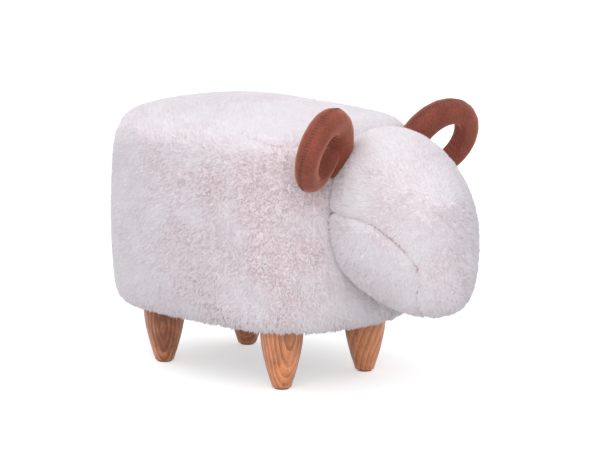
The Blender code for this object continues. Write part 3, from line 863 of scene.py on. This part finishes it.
def tuft_tips(roots, ups, ruffle, style, seam_distance, rng):
    """Where every tuft ends, once it has leaned and joined its lock."""
    count = len(roots)
    chiefs = rng.choice(count, count // style["clump"], replace=False)
    tree = kdtree.KDTree(len(chiefs))
    for number, index in enumerate(chiefs):
        tree.insert(roots[index], number)
    tree.balance()
    lock = np.array([tree.find(root)[1] for root in roots])
    from_seam = seam_distance(roots) + seam_closing(roots)
    parting = (falloff(from_seam, SEAM_PART) * rng.uniform(*PART_SPREAD, count))[:, None]
    size = TUFT_LENGTH * rng.uniform(*TUFT_LENGTHS, (count, 1)) * (1 - PART_SHORTENS * parting)
    size *= 1 - style["uneven"] * ruffle * rng.random(len(chiefs))[lock][:, None]
    hem = np.clip((body_low.z + HEM_HANG - roots[:, 2]) / HEM_HANG, 0, 1) * style["hang"]
    size *= 1 + HEM_GROWTH * hem[:, None]
    lay = drift(roots, SWAY_LENGTH, style["seed"]) * SWAY
    lay += drift(roots, CURL_LENGTH, style["seed"] + 1) * CURL * ruffle
    lay += nap(roots, ups)
    lay[:, 2] -= hem
    lay = unit(square_to(lay, ups))
    lay += rng.normal(0, style["stray"], (len(chiefs), 3))[lock] * ruffle
    lay = lay * (1 - parting) + away_from(seam_distance, roots) * parting
    tips = roots + size * unit(ups + lay * TUFT_LEAN + rng.normal(0, TIP_STRAY, roots.shape))
    centres = tips[chiefs][lock]
    pull = style["gather"] * ruffle * rng.uniform(*GATHERED, (count, 1))
    return tips + (centres - tips) * pull


def make_tuft_mesh(name, roots, ups, tips, ruffle, rng):
    """All tufts of a panel as one mesh: closed leaves, pointed at both ends and broadest half way."""
    count = len(roots)
    along = unit(tips - roots)
    side = unit(np.cross(ups, along) + rng.normal(0, SIDE_STRAY, along.shape))
    side = unit(square_to(side, along))
    broad = side * TUFT_WIDTH * rng.uniform(*TUFT_WIDTHS, (count, 1))
    sunk = roots - ups * TUFT_SINK
    middle = sunk + (tips - sunk) * TUFT_BROADEST + unit(np.cross(along, side)) * TUFT_THICKNESS
    points = np.stack([sunk, middle + broad, middle - broad, tips], axis=1).reshape(-1, 3)
    triangles = np.array([0, 1, 3, 1, 2, 3, 2, 0, 3, 2, 1, 0])
    loops = triangles[None] + (np.arange(count) * 4)[:, None]
    mesh = bpy.data.meshes.new(name)
    mesh.vertices.add(len(points))
    mesh.vertices.foreach_set("co", points.astype(np.float32).ravel())
    mesh.loops.add(loops.size)
    mesh.loops.foreach_set("vertex_index", loops.astype(np.int32).ravel())
    mesh.polygons.add(count * 4)
    mesh.polygons.foreach_set("loop_start", np.arange(0, loops.size, 3, dtype=np.int32))
    mesh.update(calc_edges=True)
    set_tuft_cells(mesh, triangles, count)
    write_layer(mesh, "pile", np.tile([0, 0.5, 0.5, 1], count))
    write_layer(mesh, "tuft", np.repeat(rng.random(count), 4))
    # The ruffle layer sets how much painted shade the pile takes at its roots and tips.
    write_layer(mesh, "ruffle", np.repeat(ruffle, 4))
    mesh.shade_smooth()
    soft_normals = unit(ups + rng.normal(0, NORMAL_STRAY, ups.shape))
    corners = points.reshape(-1, 4, 3)[:, triangles.reshape(4, 3)]
    facing = np.cross(corners[:, :, 1] - corners[:, :, 0], corners[:, :, 2] - corners[:, :, 0])
    normals = leaf_normals(np.repeat(soft_normals, 4, axis=0), unit(facing.reshape(-1, 3)))
    mesh.normals_split_custom_set(np.repeat(normals, 3, axis=0))
    return mesh


def leaf_normals(wanted, facing):
    """The skin's normal where a leaf's face looks outwards, and tilted towards the face elsewhere."""
    outwards = (wanted * facing).sum(axis=1, keepdims=True)
    level = wanted - facing * outwards
    least = LEAF_TILT * np.linalg.norm(level, axis=1, keepdims=True)
    return unit(level + facing * np.maximum(outwards, least))


def set_tuft_cells(mesh, triangles, count):
    """Each tuft has its own cell of the piece's map, so that it keeps its own colour."""
    cells = math.ceil(math.sqrt(count))
    corner_x = np.array([0.15, 0.5, 0.85, 0.5])
    corner_y = np.array([0.1, 0.35, 0.1, 0.9])
    column = (np.arange(count) % cells)[:, None]
    row = (np.arange(count) // cells)[:, None]
    spots = np.stack([column + corner_x[triangles], row + corner_y[triangles]], axis=-1) / cells
    layer = mesh.uv_layers.new(name="OFBake")
    layer.uv.foreach_set("vector", spots.astype(np.float32).ravel())


def make_pile_finish():
    """Pale tips in two tones, over darker roots where the fur is ruffled. Ruffled fur's pinker tips and
    darker roots are painted shade.
    """
    sheen = {"sheen_weight": 0.15, "sheen_roughness": 0.6}
    material, tree, shader = new_finish("plush pile", roughness=0.95, **sheen)
    patches = noise(tree, placed_coordinates(tree), 24.0, 3.0)
    ruffle = painted(tree, "ruffle")
    tint = calculate(tree, "MULTIPLY", painted(tree, "tuft"), patches)
    # Ruffled fur's tips lean to the second tone: painted shade.
    tint_and_shade = calculate(tree, "MULTIPLY_ADD", ruffle, 0.4, tint)
    tip = blend(tree, remap(tree, tint_and_shade, from_min=0.15, from_max=0.6), TIP_COLOUR, TIP_SECOND_AND_SHADE)
    # Darker roots in ruffled fur: painted shade.
    root = blend(tree, ruffle, tip, ROOT_PAINTED_SHADE)
    colour = blend(tree, remap(tree, painted(tree, "pile"), from_max=0.55), root, tip)
    tree.links.new(colour, shader.inputs["Base Color"])
    return material


pile_finish = make_pile_finish()


def grow_pile(name, skin, count, wanted, seam_distance, style):
    rng = np.random.default_rng(style["seed"])
    roots, ups = scatter(skin.data, count, wanted, rng)
    bare = SEAM_BARE * rng.uniform(*BARE_SPREAD, len(roots))
    kept = seam_distance(roots) + seam_closing(roots) > bare
    roots, ups = roots[kept], ups[kept]
    ruffle = ruffled(roots) * style["ruffle"]
    tips = tuft_tips(roots, ups, ruffle, style, seam_distance, rng)
    piece = object_from(name, make_tuft_mesh(name, roots, ups, tips, ruffle, rng))
    piece.data.materials.append(pile_finish)
    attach(piece, "root")


def inside_top_seam(points):
    return (beyond_top(points) < 0) & (points[:, 2] > SEAM_Z - TOP_BAND)


SIDE_STYLE = {"ruffle": 1.0, "stray": 0.6, "clump": 8, "gather": 0.40, "uneven": 0.35, "hang": 1.4}
TOP_STYLE = {**SIDE_STYLE, "hang": 0, "seed": 5}
grow_pile("pile_top", body_skin, TUFT_LIMIT, inside_top_seam, body_seam_distance, TOP_STYLE)
for number, (side, end) in enumerate([(-1, 1), (-1, -1), (1, 1), (1, -1)]):
    name = f"pile_side_{'right' if side < 0 else 'left'}_{'front' if end > 0 else 'back'}"

    def in_quarter(points, side=side, end=end):
        own = (points[:, 1] * side >= 0) & ((points[:, 0] - BODY_X) * end >= 0)
        return own & ~inside_top_seam(points)

    style = {**SIDE_STYLE, "seed": 10 + number}
    grow_pile(name, body_skin, TUFT_LIMIT, in_quarter, body_seam_distance, style)
finish_skin(body_skin, BODY_NODES, body_seam_distance, SIDE_STYLE)


# Head cover: a stuffed egg that droops from the front of the body. One plush panel runs over the
# forehead to the nose and a cheek panel closes each side, sewn with a seam that sinks in the pile.
HEAD_VOXEL = 0.0045
HEAD_SWELL = 0.004
HEAD_NODES = ("head_face_panel", "head_cheek_panel_left", "head_cheek_panel_right")
CHEEK_ROUND = 0.100
CHEEK_EASE = 0.004
CHEEK_TUCK = 0.40
CHEEK_TUCK_FROM = 0.200
FACE_TUFTS = 40000
CHEEK_TUFTS = 14000
BODY_SINK = 0.010
cheek_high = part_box("head_cheek_panel_right")[1]


def beyond_cheek(points):
    """How far a point lies outside a cheek panel's outline, which tucks back towards the chin."""
    tucked = points[:, 0] + CHEEK_TUCK * np.maximum(0, CHEEK_TUCK_FROM - points[:, 2])
    out_x = tucked - (cheek_high.x + CHEEK_EASE - CHEEK_ROUND)
    out_z = points[:, 2] - (cheek_high.z - CHEEK_ROUND)
    return beyond_corner(out_x, out_z, CHEEK_ROUND)


def head_seam_distance(points):
    """How far a point lies from the cheek panels' curved seams, or from the seam between them."""
    beyond = beyond_cheek(points)
    chin = np.where(beyond < 0, np.abs(points[:, 1]), 1.0)
    return np.minimum(np.abs(beyond), chin)


def outside_body(points):
    """True where a point is clear of the body, so that no lock grows inside it."""
    half_x = (body_high.x - body_low.x) / 2
    gap = oblong_distance(points[:, 0] - BODY_X, points[:, 1], half_x, body_high.y, BODY_CORNER)
    return (gap > -BODY_SINK) | (points[:, 2] > SEAM_Z)


head_skin = skin_from("head_cover", HEAD_NODES, HEAD_VOXEL)
stuff_skin(head_skin, head_seam_distance, HEAD_VOXEL, HEAD_SWELL)
FACE_STYLE = {**SIDE_STYLE, "ruffle": 0.45, "hang": 0, "seed": 21}


def on_face(points):
    return (beyond_cheek(points) > 0) & outside_body(points)


grow_pile("pile_face", head_skin, FACE_TUFTS, on_face, head_seam_distance, FACE_STYLE)
for side, word in ((-1, "right"), (1, "left")):

    def on_cheek(points, side=side):
        return (beyond_cheek(points) <= 0) & outside_body(points) & (points[:, 1] * side >= 0)

    style = {**FACE_STYLE, "seed": 23 + side}
    grow_pile(f"pile_cheek_{word}", head_skin, CHEEK_TUFTS, on_cheek, head_seam_distance, style)
finish_skin(head_skin, HEAD_NODES, head_seam_distance, FACE_STYLE)


# Horns: sleeves of brown suede-like cloth, sewn with a whip stitch along the outside of the curl,
# turned right side out, stuffed firmly and sewn to the head at their root. The cloth bunches
# inside the curl, where it has too much length, and folds along both edges of that inner face.
HORN_VOXEL = 0.0035
HORN_FILL = 0.0022
HORN_SWELL = 0.0014
HORN_PRESSURE = 6.0
HORN_PLACES = {
    "left": (1, 0.0881, (math.radians(-20.5), math.radians(23.4), math.radians(-11.0))),
    "right": (-1, 0.0969, (math.radians(-20.0), math.radians(17.5), math.radians(-19.0))),
}
HORN_MIDDLE = Vector((0.1452, 0.115, 0.242))
HORN_CURL_START = 0.0616
HORN_CURL_END = 0.0320
HORN_FLATTEN_SHARE = 0.864
HORN_START_ANGLE = math.radians(200.2)
HORN_SWEEP = math.radians(316.0)
HORN_BASE_RADIUS = 0.0207
HORN_TIP_RADIUS = 0.0135
HORN_SAMPLES = 240
HORN_TIP_REACH = {"left": 0.0120, "right": 0.0240}
SLEEVE_THICKNESS = 0.0022
ROOT_FADE = 0.12
TIP_FADE = 0.08
TIP_START = 0.86
TIP_EASE = 1.5
FOLD_TURN = math.radians(128)
FOLD_SPREAD = math.radians(17)
FOLD_RISE = 0.0016
INNER_DIP = 0.0022
PUCKER_PITCH = 0.0085
PUCKER_DEPTH = 0.0007
PUCKER_DRIFT = 2.2
DRIFT_PITCH = 61
SEAM_GROOVE = 0.0006
STITCH_PITCH = 0.0034
STITCH_HALF_TURN = math.radians(15)
STITCH_THREAD = 0.00042
STITCH_SLANT = 0.0012
STITCH_PUCKER = 0.0004
STITCH_POINTS = 5
STITCH_PROUD = 0.5
STITCH_SUNK = 1.6
STITCHED = (0.10, 0.93)
PROBE_START = 0.05
FILLING_DETAIL = 0.2
SUEDE_FIRST = (0.265, 0.062, 0.036, 1)
SUEDE_SECOND = (0.150, 0.032, 0.019, 1)
SUEDE_NAP = {"sheen_weight": 0.8, "sheen_roughness": 0.4, "sheen_tint": (1.0, 0.44, 0.30, 1)}
THREAD_COLOUR = (0.070, 0.026, 0.020, 1)


def horn_point(share, side):
    """The middle of a horn's tube, from its root at zero to its tip at one."""
    sign, lift, turn = HORN_PLACES[side]
    angle = HORN_START_ANGLE - HORN_SWEEP * share
    curl = HORN_CURL_START + (HORN_CURL_END - HORN_CURL_START) * share
    point = Vector((0, curl * HORN_FLATTEN_SHARE * math.cos(angle), curl * math.sin(angle)))
    point.rotate(Euler(turn))
    point += HORN_MIDDLE + Vector((0, 0, lift))
    point.y *= sign
    return point


def horn_tube(side):
    """Samples along a horn: its middles, directions outwards and across, and its length up to each."""
    share = np.linspace(0, 1, HORN_SAMPLES)
    middle = np.array([horn_point(part, side) for part in share])
    sign, lift = HORN_PLACES[side][:2]
    centre = HORN_MIDDLE + Vector((0, 0, lift))
    centre.y *= sign
    along = unit(np.gradient(middle, axis=0))
    outward = unit(square_to(middle - np.array(centre), along))
    across = np.cross(along, outward)
    across *= np.sign(across[:, 1:2] * sign)
    run = np.concatenate([[0], np.cumsum(np.linalg.norm(np.diff(middle, axis=0), axis=1))])
    return SimpleNamespace(share=share, middle=middle, along=along, outward=outward, across=across, run=run)


def horn_places(points, tube):
    """For each point of a horn: its nearest sample, and how far it has turned round from outermost."""
    widths = HORN_BASE_RADIUS + (HORN_TIP_RADIUS - HORN_BASE_RADIUS) * tube.share
    nearest = np.argmin(((points[:, None] - tube.middle) ** 2).sum(axis=2) / widths**2, axis=1)
    radial = square_to(points - tube.middle[nearest], tube.along[nearest])
    aside = (radial * tube.across[nearest]).sum(axis=1)
    return nearest, np.arctan2(aside, (radial * tube.outward[nearest]).sum(axis=1))


def shape_horn(horn, tube, tip_reach):
    """Bunches the inner face between its two folds, sinks the seam, and presses the tip on the root."""
    points = points_of(horn.data)
    nearest, turned = horn_places(points, tube)
    run = tube.run[nearest]
    share = tube.share[nearest]
    active = np.clip(share / ROOT_FADE, 0, 1) * np.clip((1 - share) / TIP_FADE, 0, 1)
    turned = np.abs(turned)
    fold = np.exp(-(((turned - FOLD_TURN) / FOLD_SPREAD) ** 2))
    inner = falloff(math.pi - turned, math.pi - FOLD_TURN)
    puckers = np.sin(2 * math.pi * run / PUCKER_PITCH + PUCKER_DRIFT * np.sin(run * DRIFT_PITCH)) * inner
    stitch = np.cos(2 * math.pi * run / STITCH_PITCH) * falloff(turned, 2 * STITCH_HALF_TURN)
    lift = fold * FOLD_RISE - inner * INNER_DIP + puckers * PUCKER_DEPTH
    lift += stitch * STITCH_PUCKER - falloff(turned, STITCH_HALF_TURN) * SEAM_GROOVE
    points += normals_of(horn.data) * (lift * active)[:, None]
    tip = np.clip((share - TIP_START) / (1 - TIP_START), 0, 1) ** TIP_EASE
    points += tube.along[nearest] * (tip * tip_reach)[:, None]
    move_points(horn.data, points)


def make_thread():
    material, tree, shader = new_finish("waxed thread", roughness=0.6)
    strands = noise(tree, placed_coordinates(tree), 1500.0, 2.0)
    colour = blend(tree, 1.0, THREAD_COLOUR, remap(tree, strands, to_min=0.6, to_max=1.2), "MULTIPLY")
    paint(tree, shader, colour, strands, 0.0001)
    return material


suede = make_mottled("suede cloth", SUEDE_FIRST, SUEDE_SECOND, 420.0, 0.0003, roughness=0.9, **SUEDE_NAP)
thread = make_thread()


def make_horn(side, tube):
    horn = only(object_from(f"horn_{side}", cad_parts[f"horn_stuffing_{side}"].data.copy()))
    horn.data.remesh_voxel_size = HORN_VOXEL
    bpy.ops.object.voxel_remesh()
    apply_modifier(horn, "SMOOTH", **SMOOTHING)
    apply_modifier(horn, "DISPLACE", strength=HORN_FILL, mid_level=0)
    swell(horn, np.zeros(len(horn.data.vertices)), HORN_PRESSURE, HORN_SWELL)
    apply_modifier(horn, "SUBSURF", levels=1, render_levels=1)
    shape_horn(horn, tube, HORN_TIP_REACH[side])
    fill_horn(side, horn)
    clothe(horn, suede)
    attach(horn, "root")
    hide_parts(f"horn_sleeve_{side}")
    return horn


def fill_horn(side, horn):
    """The stuffing takes the shape of the sleeve that holds it."""
    stuffing = only(object_from(f"horn_filling_{side}", horn.data.copy()))
    apply_modifier(stuffing, "DISPLACE", strength=-SLEEVE_THICKNESS, mid_level=0)
    apply_modifier(stuffing, "DECIMATE", ratio=FILLING_DETAIL)
    for vert in stuffing.data.vertices:
        spot, normal = horn.closest_point_on_mesh(vert.co)[1:3]
        if (vert.co - spot).dot(normal) > -SLEEVE_THICKNESS / 2:
            vert.co = spot - normal * SLEEVE_THICKNESS / 2
    clothe(stuffing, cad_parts[f"horn_stuffing_{side}"].data.materials[0])
    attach(stuffing, "root")
    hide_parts(f"horn_stuffing_{side}")


def sew_horn(side, horn, tube):
    """Slanted bars of thread across the seam, each bent over the tube and sunk at both ends."""
    stitches = bpy.data.curves.new(f"horn_stitches_{side}", "CURVE")
    adjust(stitches, dimensions="3D", bevel_depth=STITCH_THREAD, bevel_resolution=1, use_fill_caps=True)
    first, last = np.interp(STITCHED, tube.share, tube.run)
    for run in np.arange(first, last, STITCH_PITCH):
        spline = stitches.splines.new("POLY")
        spline.points.add(STITCH_POINTS - 1)
        for point, part in zip(spline.points, np.linspace(-1, 1, STITCH_POINTS)):
            place = np.interp(run + part * STITCH_SLANT, tube.run, np.arange(HORN_SAMPLES))
            index = int(round(place))
            angle = part * STITCH_HALF_TURN
            ray = tube.outward[index] * math.cos(angle) + tube.across[index] * math.sin(angle)
            start = Vector(tube.middle[index] + ray * PROBE_START)
            spot = horn.ray_cast(start, Vector(-ray))[1]
            sunk = STITCH_THREAD * (STITCH_PROUD - STITCH_SUNK * abs(part) ** 3)
            point.co = (*(spot + Vector(ray) * sunk), 1)
    holder = only(object_from(stitches.name, stitches))
    bpy.ops.object.convert(target="MESH")
    holder.data.materials.append(thread)
    holder.data.shade_smooth()
    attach(holder, "root")


for side in HORN_PLACES:
    tube = horn_tube(side)
    sew_horn(side, make_horn(side, tube), tube)


# Floor, light and camera: a plain pale studio floor and backdrop under two soft lamps, seen from
# the photograph's viewpoint through a long lens.
FLOOR_SIZE = 30.0
VIEW_TURN = math.radians(46.27)
VIEW_RISE = math.radians(11.15)
VIEW_DISTANCE = 6.0
FOCAL_PIXELS = 4311.0
CENTRE_X = 264.1
CENTRE_Y = 239.2
TARGET_HEIGHT = 0.18
PHOTO_WIDTH = 600
PHOTO_HEIGHT = 450
SENSOR = 36.0
FLOOR_COLOUR = (0.80, 0.80, 0.80, 1)
FLOOR_GLOW = 0.50
WORLD_COLOUR = (0.95, 0.97, 1.0, 1)
WORLD_STRENGTH = 0.83
LAMP_SIZE = 2.4
LAMP_AIM = Vector((0, 0, 0.2))
LAMPS = {
    "key lamp": ((2.0, -2.3, 1.9), 50, (1, 0.99, 0.98)),
    "top lamp": ((-1.0, -0.6, 2.8), 16, (1, 1, 1)),
}


def seen_directly(tree):
    """One where the camera sees a surface, also in a mirror or through glass, and zero elsewhere."""
    paths = add_node(tree, "LightPath").outputs
    seen = calculate(tree, "MAXIMUM", paths["Is Camera Ray"], paths["Is Glossy Ray"])
    return calculate(tree, "MAXIMUM", seen, paths["Is Transmission Ray"])


def make_floor():
    bpy.ops.mesh.primitive_plane_add(size=FLOOR_SIZE, location=(0, 0, 0))
    floor = bpy.context.object
    floor.name = "studio_floor"
    material, tree, shader = new_finish("studio floor", base_color=FLOOR_COLOUR, roughness=1.0)
    glow = calculate(tree, "MULTIPLY", seen_directly(tree), FLOOR_GLOW)
    lit = {"Specular IOR Level": 0.0, "Emission Color": (1, 1, 1, 1), "Emission Strength": glow}
    set_inputs(tree, shader, lit)
    floor.data.materials.append(material)


def make_world():
    world = bpy.data.worlds.new("studio")
    bpy.context.scene.world = world
    world.use_nodes = True
    tree = world.node_tree
    light = tree.nodes["Background"]
    set_inputs(tree, light, {"Color": WORLD_COLOUR, "Strength": WORLD_STRENGTH})
    white = add_node(tree, "Background", {"Color": (1, 1, 1, 1), "Strength": 1.0})
    shown = {0: seen_directly(tree), 1: light.outputs[0], 2: white.outputs[0]}
    mix = add_node(tree, "MixShader", shown)
    tree.links.new(mix.outputs[0], tree.nodes["World Output"].inputs["Surface"])


def add_lamp(name, place, watts, colour):
    lamp = bpy.data.lights.new(name, "AREA")
    adjust(lamp, size=LAMP_SIZE, energy=watts, color=colour)
    holder = object_from(name, lamp)
    holder.location = place
    holder.rotation_euler = (LAMP_AIM - Vector(place)).to_track_quat("-Z", "Y").to_euler()


def make_camera():
    level = math.cos(VIEW_RISE)
    back = Vector((math.sin(VIEW_TURN) * level, -math.cos(VIEW_TURN) * level, math.sin(VIEW_RISE)))
    camera = bpy.data.cameras.new("photo view")
    camera.sensor_width = SENSOR
    camera.lens = FOCAL_PIXELS / PHOTO_WIDTH * SENSOR
    camera.shift_x = (PHOTO_WIDTH / 2 - CENTRE_X) / PHOTO_WIDTH
    camera.shift_y = (CENTRE_Y - PHOTO_HEIGHT / 2) / PHOTO_WIDTH
    camera.clip_end = 100
    holder = object_from("photo view", camera)
    holder.location = Vector((BODY_X, 0, TARGET_HEIGHT)) + back * VIEW_DISTANCE
    holder.rotation_euler = (-back).to_track_quat("-Z", "Y").to_euler()
    bpy.context.scene.camera = holder


make_floor()
make_world()
for name, (place, watts, colour) in LAMPS.items():
    add_lamp(name, place, watts, colour)
make_camera()
bpy.context.scene.view_settings.view_transform = "Standard"
